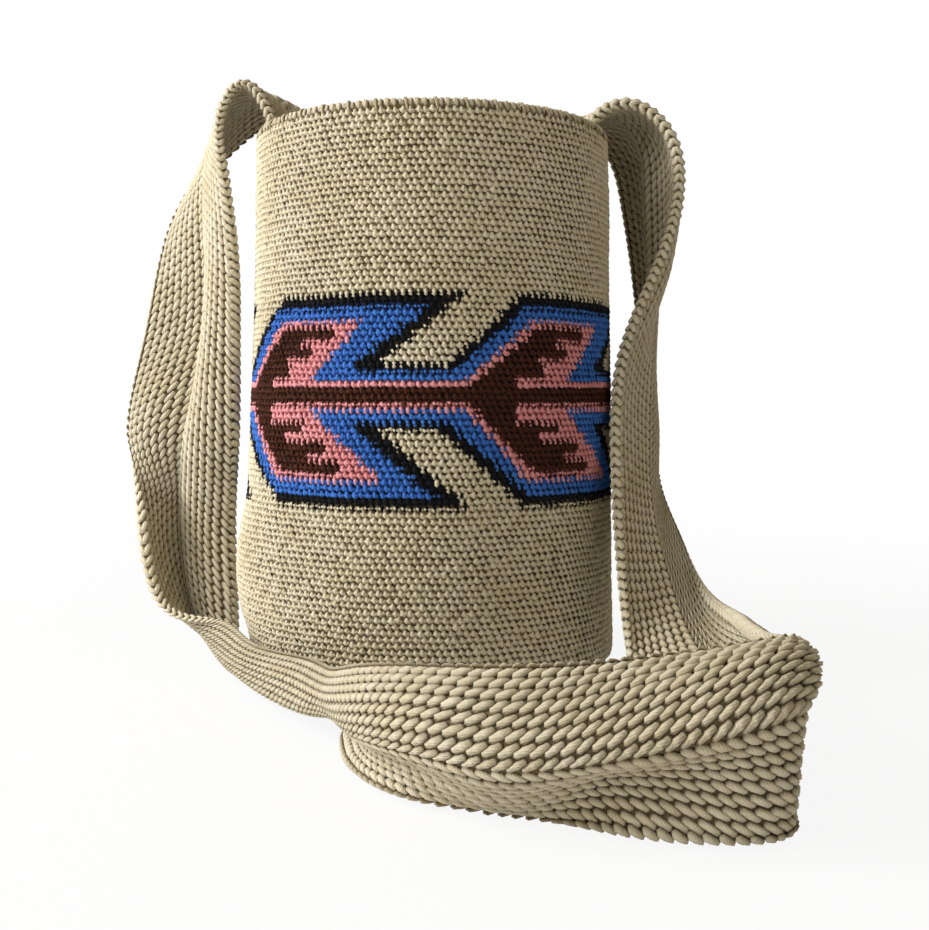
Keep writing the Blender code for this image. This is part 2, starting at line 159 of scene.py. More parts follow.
def rangeNode(tree, value, low, high, newLow, newHigh):
    node = tree.nodes.new("ShaderNodeMapRange")
    tree.links.new(value, node.inputs["Value"])
    for name, number in zip(("From Min", "From Max", "To Min", "To Max"), (low, high, newLow, newHigh)):
        node.inputs[name].default_value = number
    return node.outputs["Result"]


def noiseNode(tree, vector, scale, detail, roughness=0.5):
    node = tree.nodes.new("ShaderNodeTexNoise")
    tree.links.new(vector, node.inputs["Vector"])
    node.inputs["Scale"].default_value = scale
    node.inputs["Detail"].default_value = detail
    node.inputs["Roughness"].default_value = roughness
    return node.outputs["Fac"]


def pliesGroup(plan=surfacePlan):
    # slanted lines of the twisted plies, from where a point lies on its bit of yarn, in millimetres
    group, given, result = newGroup(
        "yarnPlies",
        [("Grain", "Vector", None), ("Ply", "Float", 0.9), ("Slant", "Float", 0.8)],
        [("Height", "Float")])
    parts = group.nodes.new("ShaderNodeSeparateXYZ")
    group.links.new(given.outputs["Grain"], parts.inputs[0])
    along = mathNode(group, "MULTIPLY_ADD", parts.outputs["Y"], given.outputs["Slant"], parts.outputs["X"])
    wander = noiseNode(group, given.outputs["Grain"], plan["plyWanderScale"], 1.0)
    along = mathNode(group, "MULTIPLY_ADD", wander, plan["plyWander"], along)
    turns = mathNode(group, "DIVIDE", along, given.outputs["Ply"])
    wave = mathNode(group, "SINE", mathNode(group, "MULTIPLY", turns, 2 * math.pi))
    height = rangeNode(group, wave, -1.0, 1.0, 0.0, 1.0)
    group.links.new(mathNode(group, "POWER", height, plan["plyRoundness"]), result.inputs["Height"])
    return group


def fuzzGroup(plan=surfacePlan):
    # short cotton fibres, as fine relief and as a little colour
    group, given, result = newGroup(
        "cottonFuzz", [("Vector", "Vector", None)], [("Height", "Float"), ("Tone", "Float")])
    fine = noiseNode(group, given.outputs["Vector"], plan["fibreScale"], 2.0, plan["fuzzRoughness"])
    tuft = noiseNode(group, given.outputs["Vector"], plan["tuftScale"], 2.0, plan["fuzzRoughness"])
    group.links.new(mathNode(group, "MULTIPLY_ADD", tuft, plan["tuftRelief"], fine), result.inputs["Height"])
    group.links.new(rangeNode(group, tuft, *plan["tuftRange"], 0.0, 1.0), result.inputs["Tone"])
    return group


def toneGroup(plan=surfacePlan):
    # uneven colour of hand-spun yarn: soft patches, and each stitch a little lighter or darker
    group, given, result = newGroup(
        "unevenTone",
        [("Vector", "Vector", None), ("Shade", "Float", 0.5), ("Fuzz", "Float", 0.5)], [("Tone", "Float")])
    patch = noiseNode(group, given.outputs["Vector"], plan["patchScale"], 3.0)
    patch = rangeNode(group, patch, *plan["patchRange"], 0.0, 1.0)
    total = mathNode(group, "MULTIPLY", given.outputs["Shade"], plan["stitchShare"])
    total = mathNode(group, "MULTIPLY_ADD", patch, plan["patchShare"], total)
    total = mathNode(group, "MULTIPLY_ADD", given.outputs["Fuzz"], plan["tuftShare"], total)
    group.links.new(total, result.inputs["Tone"])
    return group


def reliefGroup(plan=surfacePlan):
    # rounds of stitches on a wall or floor that is turned about the Z axis, each a raised bar
    group, given, result = newGroup(
        "crochetRelief",
        [("Vector", "Vector", None), ("Stitches", "Float", 170.0), ("Row", "Float", 0.00274),
         ("Lean", "Float", 0.43)],
        [("Height", "Float")])
    parts = group.nodes.new("ShaderNodeSeparateXYZ")
    group.links.new(given.outputs["Vector"], parts.inputs[0])
    x, y, z = parts.outputs
    radius = mathNode(group, "SQRT", mathNode(group, "MULTIPLY_ADD", x, x, mathNode(group, "MULTIPLY", y, y)))
    row = mathNode(group, "DIVIDE", mathNode(group, "ADD", radius, z), given.outputs["Row"])
    turn = mathNode(group, "DIVIDE", mathNode(group, "ARCTAN2", y, x), 2 * math.pi)
    column = mathNode(group, "MULTIPLY", turn, given.outputs["Stitches"])
    column = mathNode(group, "MULTIPLY_ADD", row, given.outputs["Lean"], column)
    across = mathNode(group, "POWER", halfWaves(group, column), plan["barRoundness"])
    group.links.new(mathNode(group, "MULTIPLY", across, halfWaves(group, row)), result.inputs["Height"])
    return group


sharedGroups = {"plies": pliesGroup(), "fuzz": fuzzGroup(), "tone": toneGroup(), "relief": reliefGroup()}

# Each yarn: its painted shade colour for the hollows, its colours on its strands, the width of a ply in millimetres
# and how far it slants
usualYarn = {"ply": 0.8, "slant": 0.8, "sheen": 0.10}
yarns = {
    "pale": {"hollow": (0.19, 0.135, 0.055), "dark": (0.66, 0.57, 0.37), "light": (0.86, 0.80, 0.64)},
    "strap": {"hollow": (0.115, 0.080, 0.028), "dark": (0.68, 0.59, 0.39), "light": (0.87, 0.81, 0.66),
              "ply": 1.9, "slant": 2.2},
    "edging": {"hollow": (0.09, 0.060, 0.022), "dark": (0.66, 0.57, 0.37), "light": (0.86, 0.80, 0.64),
               "ply": 0.9},
    "sewing": {"hollow": (0.16, 0.11, 0.05), "dark": (0.36, 0.29, 0.17), "light": (0.60, 0.52, 0.36),
               "ply": 0.7},
    "blue": {"hollow": (0.004, 0.010, 0.060), "dark": (0.030, 0.125, 0.50), "light": (0.075, 0.26, 0.80),
             "sheen": 0.05},
    "pink": {"hollow": (0.16, 0.020, 0.025), "dark": (0.80, 0.28, 0.30), "light": (0.94, 0.43, 0.46),
             "sheen": 0.08},
    "brown": {"hollow": (0.006, 0.002, 0.001), "dark": (0.038, 0.009, 0.004), "light": (0.085, 0.024, 0.011),
              "sheen": 0.02},
    "black": {"hollow": (0.0005, 0.0005, 0.0008), "dark": (0.0018, 0.0018, 0.003), "light": (0.005, 0.005, 0.008),
              "sheen": 0.02},
}


def placed(tree, group):
    node = tree.nodes.new("ShaderNodeGroup")
    node.node_tree = group
    return node


def attributeNode(tree, name):
    node = tree.nodes.new("ShaderNodeAttribute")
    node.attribute_name = name
    return node


def mixedColour(tree, factor, first, second):
    node = tree.nodes.new("ShaderNodeMix")
    node.data_type = "RGBA"
    tree.links.new(factor, node.inputs["Factor"])
    for socket, colour in ((node.inputs["A"], first), (node.inputs["B"], second)):
        if isinstance(colour, tuple):
            socket.default_value = (*colour, 1.0)
        else:
            tree.links.new(colour, socket)
    return node.outputs["Result"]


def bumpNode(tree, height, distance, strength):
    node = tree.nodes.new("ShaderNodeBump")
    node.inputs["Distance"].default_value = distance
    node.inputs["Strength"].default_value = strength
    tree.links.new(height, node.inputs["Height"])
    return node


def yarnMaterial(name, yarn, backing=False, plan=surfacePlan):
    # a yarn's own relief, with painted shade in its hollows and between its plies; a backing is the same yarn deep
    # between the stitches, with rounds of bars as relief, coloured mostly in painted hollow shade
    yarn = {**usualYarn, **yarn}
    material = bpy.data.materials.new(name)
    material.use_nodes = True
    tree = material.node_tree
    shader = tree.nodes["Principled BSDF"]
    place = tree.nodes.new("ShaderNodeTexCoord").outputs["Object"]
    fuzz = placed(tree, sharedGroups["fuzz"])
    tree.links.new(place, fuzz.inputs["Vector"])
    tone = placed(tree, sharedGroups["tone"])
    tree.links.new(place, tone.inputs["Vector"])
    tree.links.new(fuzz.outputs["Tone"], tone.inputs["Fuzz"])
    strands = mixedColour(tree, tone.outputs["Tone"], yarn["dark"], yarn["light"])
    if backing:
        relief = placed(tree, sharedGroups["relief"])
        tree.links.new(place, relief.inputs["Vector"])
        rise = relief.outputs["Height"]
        # painted shade: a backing is mostly the hollow shade colour, with a little of the strands' colour on its bars
        shown = rangeNode(tree, rise, 0.0, 1.0, 0.0, plan["backingShown"])
        colour = mixedColour(tree, shown, yarn["hollow"], strands)
        depth = plan["backingDepth"]
    else:
        tree.links.new(attributeNode(tree, "shade").outputs["Fac"], tone.inputs["Shade"])
        plies = placed(tree, sharedGroups["plies"])
        plies.inputs["Ply"].default_value = yarn["ply"]
        plies.inputs["Slant"].default_value = yarn["slant"]
        tree.links.new(attributeNode(tree, "grain").outputs["Vector"], plies.inputs["Grain"])
        rise = plies.outputs["Height"]
        # painted shade: the colour goes towards the hollow shade colour between the plies and where the hollow shade
        # attribute is high
        between = rangeNode(tree, rise, 0.0, 0.5, plan["betweenPlies"], 0.0)
        hollow = mathNode(tree, "MAXIMUM", attributeNode(tree, "hollow").outputs["Fac"], between)
        colour = mixedColour(tree, hollow, strands, yarn["hollow"])
        depth = plan["plyDepth"]
    tree.links.new(colour, shader.inputs["Base Color"])
    roughness = rangeNode(tree, fuzz.outputs["Tone"], 0.0, 1.0, *plan["roughness"])
    tree.links.new(roughness, shader.inputs["Roughness"])
    coarse = bumpNode(tree, rise, depth, plan["plyStrength"])
    fine = bumpNode(tree, fuzz.outputs["Height"], plan["fuzzDepth"], plan["fuzzStrength"])
    tree.links.new(coarse.outputs["Normal"], fine.inputs["Normal"])
    tree.links.new(fine.outputs["Normal"], shader.inputs["Normal"])
    shader.inputs["Sheen Weight"].default_value = yarn["sheen"]
    shader.inputs["Sheen Roughness"].default_value = plan["sheenRoughness"]
    shader.inputs["Specular IOR Level"].default_value = plan["specular"]
    return material


materials = {name: yarnMaterial(name + "Yarn", yarn) for name, yarn in yarns.items()}
# backings: each yarn deep between the stitches, coloured mostly in painted hollow shade
backings = {name: yarnMaterial(name + "Backing", yarns[name], backing=True)
            for name in ("pale", "blue", "pink", "brown", "black")}
print("yarn materials made:", len(materials) + len(backings))


# Bits of yarn, and pieces made of many copies of one bit
smallestWaist = 0.02


def yarnBit(parts, sides, rings, blunt=0.0):
    # one or more stretched balls; each part's half is half its length, width and height, and blunt fills its ends
    bm = bmesh.new()
    for part in parts:
        shape = (Matrix.Translation(part.get("middle", (0.0, 0.0, 0.0)))
                 @ Matrix.Rotation(math.radians(part.get("turned", 0.0)), 4, "Z")
                 @ Matrix.Rotation(math.radians(-part.get("tilted", 0.0)), 4, "Y")
                 @ Matrix.Diagonal((*part["half"], 1.0))
                 @ Matrix.Rotation(math.radians(90), 4, "Y"))
        ball = bmesh.ops.create_uvsphere(bm, u_segments=sides, v_segments=rings, radius=1.0)["verts"]
        for vert in ball:
            vert.co.xy *= max(smallestWaist, 1.0 - vert.co.z**2) ** (-0.5 * blunt)
        bmesh.ops.transform(bm, matrix=shape, verts=ball)
    bmesh.ops.recalc_face_normals(bm, faces=bm.faces)
    mesh = newMesh("yarn_bit", bm)
    mesh.shade_smooth()
    return mesh


def applied(piece):
    # the piece with its modifiers made part of its mesh
    graph = bpy.context.evaluated_depsgraph_get()
    mesh = bpy.data.meshes.new_from_object(piece.evaluated_get(graph))
    mesh.name = piece.name
    piece.modifiers.clear()
    piece.data = mesh
    return mesh


def readPoints(mesh):
    points = np.zeros(len(mesh.vertices) * 3, np.float32)
    mesh.vertices.foreach_get("co", points)
    return points.reshape(-1, 3).astype(float)


def writePoints(mesh, points):
    mesh.vertices.foreach_set("co", points.astype(np.float32).ravel())
    mesh.update()


def writeAttribute(mesh, name, kind, values):
    attribute = mesh.attributes.new(name, kind, "POINT")
    attribute.data.foreach_set("vector" if kind == "FLOAT_VECTOR" else "value", values.astype(np.float32).ravel())


def yarnPiece(name, bit, count, layOut, material, seed):
    # count copies of a bit; layOut gives all their points, copies x points x 3, and each point's painted hollow shade,
    # 0 to 1, from how deep it lies
    piece = newObject(name, bit)
    copies = piece.modifiers.new("copies", "ARRAY")
    copies.use_relative_offset = False
    copies.count = count
    mesh = applied(piece)
    draw = np.random.default_rng(seed)
    points = readPoints(mesh).reshape(count, -1, 3)
    writeAttribute(mesh, "grain", "FLOAT_VECTOR", points / mm)
    writeAttribute(mesh, "shade", "FLOAT", np.repeat(draw.random(count), points.shape[1]))
    laid, hollow = layOut(points, draw)
    writeAttribute(mesh, "hollow", "FLOAT", np.clip(hollow, 0.0, 1.0).ravel())
    writePoints(mesh, laid.reshape(-1, 3))
    mesh.materials.clear()
    mesh.materials.append(material)
    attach(piece, "root")
    return piece


def spread(draw, count, amount):
    # one random offset for each copy
    return draw.normal(0.0, amount, count)[:, None]


# The bag's wall, as in the solids, and the rounds of stitches on it, counted from the band's middle
bagPlan = {
    "radius": 0.084,
    "height": 0.26,
    "wall": 0.004,
    "baseRadius": 0.07,
    "corner": 0.016,
    "belly": 0.002,
    "bulge": 0.008,  # of the wall's lower left, as in the photograph
    "bulgeHeight": 0.055,
    "bulgeSpread": 0.034,
    "bulgeFoot": 0.6,  # it starts at the base and is full at this share of its height
    "stitches": 170,
    "row": 0.00274,
    "lean": 0.43,  # how far each round is shifted against the last, in stitches
    "bandMiddle": 0.135,
    "bandRows": (-16.3, 15.2),
    "topRow": 43.5,
    "bottomRow": -44.5,
    "lastRow": -80.0,
    "lowestInnerRow": -4.5,  # the inside wall has stitches down to here
    "fewestStitches": 5,  # in the round next to the base's centre
    "middleRoom": 0.4,  # free at the base's centre, in rows
    "sectionSteps": (30, 40, 60),  # along the flat base, the corner and the wall
}


def wallSection(plan):
    # the outer face's section, from the base's centre out and up to the mouth
    flatSteps, bendSteps, upSteps = plan["sectionSteps"]
    flat = np.linspace(0.0, plan["baseRadius"], flatSteps, endpoint=False)
    bend = np.linspace(0.0, math.pi / 2, bendSteps, endpoint=False)
    up = np.linspace(plan["corner"], plan["height"], upSteps)
    share = (up - plan["corner"]) / (plan["height"] - plan["corner"])
    widest = plan["radius"] + plan["belly"]
    radius = np.concatenate([
        flat, plan["baseRadius"] + (widest - plan["baseRadius"]) * np.sin(bend), widest - plan["belly"] * share])
    z = np.concatenate([np.zeros(flatSteps), plan["corner"] * (1 - np.cos(bend)), up])
    length = np.concatenate([[0.0], np.cumsum(np.hypot(np.diff(radius), np.diff(z)))])
    outR, outZ = np.gradient(z, length), -np.gradient(radius, length)
    size = np.hypot(outR, outZ)
    return {"length": length, "radius": radius, "z": z, "outR": outR / size, "outZ": outZ / size}


section = wallSection(bagPlan)


def bulgeAt(turn, z, plan=bagPlan):
    # how far the wall bellies out at its lower left
    low, high = (plan["bandMiddle"] + rows * plan["row"] for rows in plan["bandRows"])
    amount = np.exp(-((np.minimum(z, low) - plan["bulgeHeight"]) / plan["bulgeSpread"]) ** 2)
    amount *= np.clip(z / (plan["bulgeHeight"] * plan["bulgeFoot"]), 0, 1) * np.clip((high - z) / (high - low), 0, 1)
    return plan["bulge"] * amount * np.maximum(0, -np.cos(turn)) ** 2


def aroundAxis(turn, radius, z):
    return np.stack([radius * np.cos(turn), radius * np.sin(turn), z], axis=-1)


def onBag(turn, reach, lift):
    # turn is the angle from +X, reach the way along the section, lift the height off the outer face
    z = np.interp(reach, section["length"], section["z"])
    radius = np.interp(reach, section["length"], section["radius"]) + bulgeAt(turn, z)
    radius = radius + np.interp(reach, section["length"], section["outR"]) * lift
    z = z + np.interp(reach, section["length"], section["outZ"]) * lift
    return aroundAxis(turn, radius, z)


def bagRounds(firstRow, lastRow, plan=bagPlan):
    # every stitch of the rounds between two rows: turn, reach and row
    flatSteps = plan["sectionSteps"][0]
    middle = np.interp(plan["bandMiddle"], section["z"][flatSteps:], section["length"][flatSteps:])
    turns, reaches, rows = [], [], []
    for row in np.arange(firstRow, lastRow - 0.1, -1.0):
        reach = middle + row * plan["row"]
        if reach < plan["row"] * plan["middleRoom"]:
            break
        around = 2 * math.pi * np.interp(reach, section["length"], section["radius"])
        fitting = round(around / (2 * math.pi * plan["radius"] / plan["stitches"]))
        count = min(plan["stitches"], max(plan["fewestStitches"], fitting))
        step = 2 * math.pi / count
        turns.append((np.arange(count) - row * plan["lean"]) * step)
        reaches.append(np.full(count, reach))
        rows.append(np.full(count, row))
    return np.concatenate(turns), np.concatenate(reaches), np.concatenate(rows)


# The band's motif, painted in this order: stitches from an arrow's tip, rows from the middle line
motifPlan = {
    "stitches": 38,  # that it is drawn for
    "repeats": (38, 38, 47, 47),  # stitches that each repeat is worked over
    "firstTip": -158.9,  # degrees from +X
    "aheadOfTip": 60,  # degrees in front of its tip that a repeat reaches
    "shift": 0.3 * mm,  # of the colours against the middles of the stitches
    "rows": (-17.3, 16.2),
    "barsAhead": 0.8,  # rounds by which a bar's colour runs ahead
    "shapes": [
        ("black", [(0, 1.4), (0, 16.2), (38, 16.2), (38, 1.4)]),
        ("black", [(0, -17.3), (0, -1.1), (38, -1.1), (38, -17.3)]),
        ("pale", [(26, 5.2), (35.4, 5.2), (45.9, 16.2), (38.1, 16.2)]),
        ("pale", [(25.6, -5), (38.5, -17.3), (46, -17.3), (33.8, -5)]),
        ("blue", [(-1.9, 1.4), (-1.9, 4), (8.3, 14.1), (33.4, 14.1), (22.4, 4.8), (23.2, 4), (36.6, 4),
                  (36.6, 1.4)]),
        ("blue", [(-3.2, -1.1), (-3.2, -3.8), (8.6, -15.6), (33.8, -15.6), (22.4, -4.8), (23.2, -3.8),
                  (34.8, -3.8), (34.8, -1.1)]),
        ("pink", [(-1.6, 1.4), (8.9, 11.7), (23.7, 11.7), (15.4, 2.4), (37.8, 2.4), (37.8, 1.4)]),
        ("pink", [(-1.4, -1.1), (8.2, -12.8), (26.6, -12.8), (15.2, -2.1), (37.8, -2.1), (37.8, -1.1)]),
        ("brown", [(0, -1.1), (0, 1.4), (38, 1.4), (38, -1.1)]),
        ("brown", [(-0.2, 1.4), (9.9, 10.8), (18.9, 10.8), (18.9, 9.3), (13.3, 9.3), (13.3, 8), (15.2, 8),
                   (15.2, 6.3), (10.4, 6.3), (10.4, 5), (11.3, 5), (11.3, 3), (6.6, 3), (6.6, 1.4)]),
        ("brown", [(-0.2, -1.1), (6.6, -1.1), (6.6, -3.8), (14.1, -3.8), (14.1, -5.5), (10.6, -5.5),
                   (10.6, -7.2), (18, -7.2), (18, -9), (14.6, -9), (14.6, -10.2), (20.2, -10.2),
                   (20.2, -11.9), (9.5, -11.9)]),
    ],
}


def insideOutline(x, y, outline):
    inside = np.zeros(len(x), bool)
    for (x1, y1), (x2, y2) in zip(outline, outline[1:] + outline[:1]):
        if y1 == y2:
            continue
        crosses = (y1 > y) != (y2 > y)
        inside ^= crosses & (x < (x2 - x1) * (y - y1) / (y2 - y1) + x1)
    return inside


def yarnColours(turns, rows, plan=motifPlan):
    # the yarn that each stitch of the band is worked in
    colours = np.full(len(turns), "pale", dtype="<U5")
    degreesEach = 360.0 / bagPlan["stitches"]
    for colour, outline in plan["shapes"]:
        tip = plan["firstTip"]
        for repeat in plan["repeats"]:
            away = (np.degrees(turns) - tip + plan["aheadOfTip"]) % 360 - plan["aheadOfTip"]
            x = away / degreesEach * plan["stitches"] / repeat
            colours[insideOutline(x, rows, outline)] = colour
            tip += repeat * degreesEach
    return colours


# One crochet stitch seen from outside: an upright bar with its head on top, over a body that lies along the round
stitchPlan = {
    "bar": {"middle": (-0.15 * mm, 0.1 * mm, 0.45 * mm), "half": (1.85 * mm, 1.0 * mm, 0.85 * mm),
            "turned": 102.0, "tilted": -7.0},
    "body": {"middle": (0.1 * mm, -0.3 * mm, 0.25 * mm), "half": (2.05 * mm, 1.12 * mm, 0.9 * mm), "turned": 174.0},
    "blunt": 0.35,
    "shift": 0.15 * mm,  # each stitch's own chance differences, down to sink; turn is in degrees
    "turn": 8.0,
    "grow": 0.07,
    "sink": 0.11 * mm,
    "bandLift": 0.2 * mm,
    "crest": 1.3 * mm,  # the height at which a stitch has its full colour, without painted shade
    "hollowReach": 1.6 * mm,  # how far below that its painted hollow shade reaches the share given next
    "hollowMost": 0.45,
    "wander": 0.22 * mm,  # slow drift of the rounds up and down
    "driftSeeds": (5, 6),
    "swell": 0.3 * mm,  # slow drift outwards, of stitches that lie above swellAbove
    "swellAbove": -1 * mm,
    "driftLobes": (2, 3, 5, 8, 13),  # waves round the bag
    "driftLean": (0.05, 0.35),  # and how far they turn from round to round, in radians
    "driftShare": 2.4,
    "narrowest": 0.004,  # least radius that a round is laid on
}


def wandering(turns, rows, size, seed, plan=stitchPlan):
    # slow uneven drift round the bag and from row to row, between -size and size
    draw = np.random.default_rng(seed)
    total = np.zeros(len(turns))
    for lobes in plan["driftLobes"]:
        lean, start = draw.uniform(*plan["driftLean"]), draw.uniform(0, 6.28)
        total += np.sin(lobes * turns + lean * rows + start) / plan["driftShare"]
    return total * size


def turnedBy(x, y, angle):
    return x * np.cos(angle) - y * np.sin(angle), x * np.sin(angle) + y * np.cos(angle)


def layStitches(turns, reaches, rows, lift):
    def layOut(points, draw, plan=stitchPlan):
        count = len(points)
        wanderSeed, swellSeed = plan["driftSeeds"]
        x, y, z = (points[..., axis] for axis in range(3))
        x, y = turnedBy(x, y, np.radians(spread(draw, count, plan["turn"])))
        grow = 1.0 + spread(draw, count, plan["grow"])
        x = grow * x + spread(draw, count, plan["shift"])
        y = grow * y + spread(draw, count, plan["shift"])
        y = y + wandering(turns, rows, plan["wander"], wanderSeed)[:, None]
        # painted shade, more the lower a point lies below the stitch's crest
        hollow = (plan["crest"] - z) / plan["hollowReach"] * plan["hollowMost"]
        rise = np.maximum(0.0, wandering(turns, rows, plan["swell"], swellSeed))
        z = z + lift + rise[:, None] * (lift > plan["swellAbove"]) + spread(draw, count, plan["sink"])
        around = np.maximum(plan["narrowest"], np.interp(reaches, section["length"], section["radius"]))[:, None]
        narrowed = np.minimum(1.0, around / (bagPlan["radius"] - bagPlan["wall"]))
        return onBag(turns[:, None] + x * narrowed / around, reaches[:, None] + y, z), hollow
    return layOut


bits = {name: yarnBit([stitchPlan[part] for part in parts], sides=4, rings=3, blunt=stitchPlan["blunt"])
        for name, parts in (("Stitches", ("bar", "body")), ("Bars", ("bar",)), ("Bodies", ("body",)))}
turns, reaches, rows = bagRounds(bagPlan["topRow"], bagPlan["bottomRow"])
low, high = motifPlan["rows"][0] - 1, motifPlan["rows"][1]
wallPieces = [("Lower", "Stitches", "pale", rows < low, 0.0), ("Upper", "Stitches", "pale", rows > high, 0.0)]
for part, ahead in (("Bars", motifPlan["barsAhead"]), ("Bodies", 0.0)):
    # a bar takes the colour of the yarn that the next round is worked in, so each field's edge has teeth
    colours = yarnColours(turns - motifPlan["shift"] / bagPlan["radius"], rows + ahead)
    for colour in ("pale", "black", "blue", "pink", "brown"):
        where = (rows > low) & (rows < high) & (colours == colour)
        wallPieces.append(("", part, colour, where, stitchPlan["bandLift"]))
for seed, (level, part, colour, where, lift) in enumerate(wallPieces):
    chosen = np.nonzero(where)[0]
    yarnPiece(colour + part + level, bits[part], len(chosen),
              layStitches(turns[chosen], reaches[chosen], rows[chosen], lift),
              materials[colour], seed)
    print("stitches:", colour + part + level, len(chosen))

# The round base, and the wrong side as seen through the mouth
baseBit = yarnBit([{"half": (1.9 * mm, 0.95 * mm, 0.9 * mm), "turned": 118.0}], sides=4, rings=2)
innerBit = yarnBit([{"half": (1.85 * mm, 0.95 * mm, 0.8 * mm), "turned": 8.0}], sides=4, rings=2)
plainPieces = [  # the base's lie a little into it, so that the bag stands flat
    {"name": "baseStitches", "bit": baseBit, "lift": -0.35 * mm, "seed": 11,
     "rows": (bagPlan["bottomRow"] - 1.0, bagPlan["lastRow"])},
    {"name": "innerWallStitches", "bit": innerBit, "lift": -4.1 * mm, "seed": 12,
     "rows": (bagPlan["topRow"] - 1.0, bagPlan["lowestInnerRow"])},
    {"name": "innerFloorStitches", "bit": innerBit, "lift": -4.1 * mm, "seed": 13,
     "rows": (bagPlan["bottomRow"], bagPlan["lastRow"])},
]
for plan in plainPieces:
    turns, reaches, rows = bagRounds(*plan["rows"])
    yarnPiece(plan["name"], plan["bit"], len(turns), layStitches(turns, reaches, rows, plan["lift"]),
              materials["pale"], plan["seed"])
    print("stitches:", plan["name"], len(turns))


# Edging of the mouth: a cord of loops, drawn in by a thin whip stitch after every fourth loop
rimPlan = {
    "middle": 0.0825,
    "z": 0.2571,
    "loops": 164,
    "whips": 41,
    "coreRadius": 2.25 * mm,
    "cordRadius": 1.9 * mm,
    "coreSides": 8,
    "coreSteps": 82,
    "footDrop": 1.6 * mm,  # below the cord's middle, where the pinch draws it to
    "loop": {"half": (1.0 * mm, 1.7 * mm, 1.0 * mm)},
    "loopReach": 145.0,  # degrees round the cord, to each side of loopFrom
    "loopFrom": 85.0,
    "loopSlant": 1.1 * mm,
    "loopTurn": 0.0012,  # chance differences: turn in radians, and size
    "loopGrow": 0.05,
    # painted shade on each loop, strongest on its underside against the cord
    "loopHollow": 0.9,
    "pinch": 0.55,  # share of the cord's width that a whip stitch draws in
    "pinchWidth": 1.3 * mm,
    "whip": {"half": (1.0 * mm, 0.85 * mm, 0.75 * mm)},
    "whipFrom": 215,  # degrees round the cord
    "whipRadius": 2.3 * mm,
    "whipTail": 3.8 * mm,
    "whipSlant": 1.3 * mm,
    "whipTurn": 0.0025,
    "whipHollow": (0.5, 0.6),  # painted hollow shade at mid height, and how much less at the crest
}


def pinchedAt(turn, plan=rimPlan):
    # the cord's width as a share, drawn in at each whip stitch
    step = 2 * math.pi / plan["whips"]
    away = (turn / step - np.round(turn / step)) * step * plan["middle"]
    return 1.0 - plan["pinch"] * np.exp(-(away / plan["pinchWidth"]) ** 2)


def onRim(turn, around, radius, plan=rimPlan):
    return aroundAxis(turn, plan["middle"] + radius * np.cos(around), plan["z"] + radius * np.sin(around))


def layLoops(points, draw, plan=rimPlan):
    count = len(points)
    halfLength, _, halfHeight = plan["loop"]["half"]
    share = points[..., 0] / halfLength
    step = 2 * math.pi / count
    turn = (np.arange(count) + 0.5)[:, None] * step
    turn = turn + (points[..., 1] + share * plan["loopSlant"]) / plan["middle"]
    turn = turn + spread(draw, count, plan["loopTurn"])
    around = np.radians(plan["loopFrom"] - share * plan["loopReach"])
    radius = (plan["cordRadius"] + points[..., 2]) * pinchedAt(turn) * (1.0 + spread(draw, count, plan["loopGrow"]))
    # painted shade, strongest on the loop's underside against the cord
    return onRim(turn, around, radius), plan["loopHollow"] - plan["loopHollow"] * points[..., 2] / halfHeight


def layWhips(points, draw, plan=rimPlan):
    # over the cord from inside, then straight down over the first rounds outside
    count = len(points)
    halfLength, _, halfHeight = plan["whip"]["half"]
    share = points[..., 0] / halfLength
    turn = np.arange(count)[:, None] * (2 * math.pi / count) + spread(draw, count, plan["whipTurn"])
    turn = turn + (points[..., 1] + share * plan["whipSlant"]) / plan["middle"]
    arc = math.radians(plan["whipFrom"]) * plan["whipRadius"]
    way = (share + 1) / 2 * (arc + plan["whipTail"])
    around = np.radians(plan["whipFrom"]) - np.minimum(way, arc) / plan["whipRadius"]
    tail = np.maximum(0.0, way - arc)
    radius = plan["whipRadius"] + points[..., 2]
    laid = onRim(turn, around, radius)
    laid[..., 2] -= tail
    # painted shade, strongest on the whip's underside against the cord and wall
    deepest, fall = plan["whipHollow"]
    return laid, deepest - fall * points[..., 2] / halfHeight


def makeRimCord(plan=rimPlan):
    # the core that the loops are worked round
    bm = bmesh.new()
    circle = bmesh.ops.create_circle(bm, segments=plan["coreSides"], radius=plan["coreRadius"], cap_ends=False)
    bmesh.ops.rotate(bm, verts=circle["verts"], cent=(0, 0, 0), matrix=Matrix.Rotation(math.radians(90), 3, "X"))
    bmesh.ops.translate(bm, verts=circle["verts"], vec=(plan["middle"], 0.0, plan["z"]))
    bmesh.ops.spin(bm, geom=list(bm.edges) + list(bm.verts), axis=(0, 0, 1), cent=(0, 0, 0),
                   steps=plan["coreSteps"], angle=2 * math.pi, use_merge=True)
    bmesh.ops.remove_doubles(bm, verts=bm.verts, dist=1e-6)
    bmesh.ops.recalc_face_normals(bm, faces=bm.faces)
    mesh = newMesh("rimCord", bm)
    mesh.shade_smooth()
    # painted shade: the cord under the loops is coloured mostly in the pale yarn's hollow shade
    mesh.materials.append(backings["pale"])
    points = readPoints(mesh)
    turn = np.arctan2(points[:, 1], points[:, 0])
    foot = aroundAxis(turn, plan["middle"], np.full(len(turn), plan["z"] - plan["footDrop"]))
    writePoints(mesh, foot + (points - foot) * pinchedAt(turn)[:, None])
    piece = newObject("rimCord", mesh)
    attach(piece, "root")


makeRimCord()
rimLoops = yarnPiece("rimLoops", yarnBit([rimPlan["loop"]], sides=6, rings=7), rimPlan["loops"], layLoops,
                     materials["edging"], seed=21)
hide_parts("rim_edging")
yarnPiece("whipStitches", yarnBit([rimPlan["whip"]], sides=6, rings=14), rimPlan["whips"], layWhips,
          materials["sewing"], seed=22)
print("rim edging made")


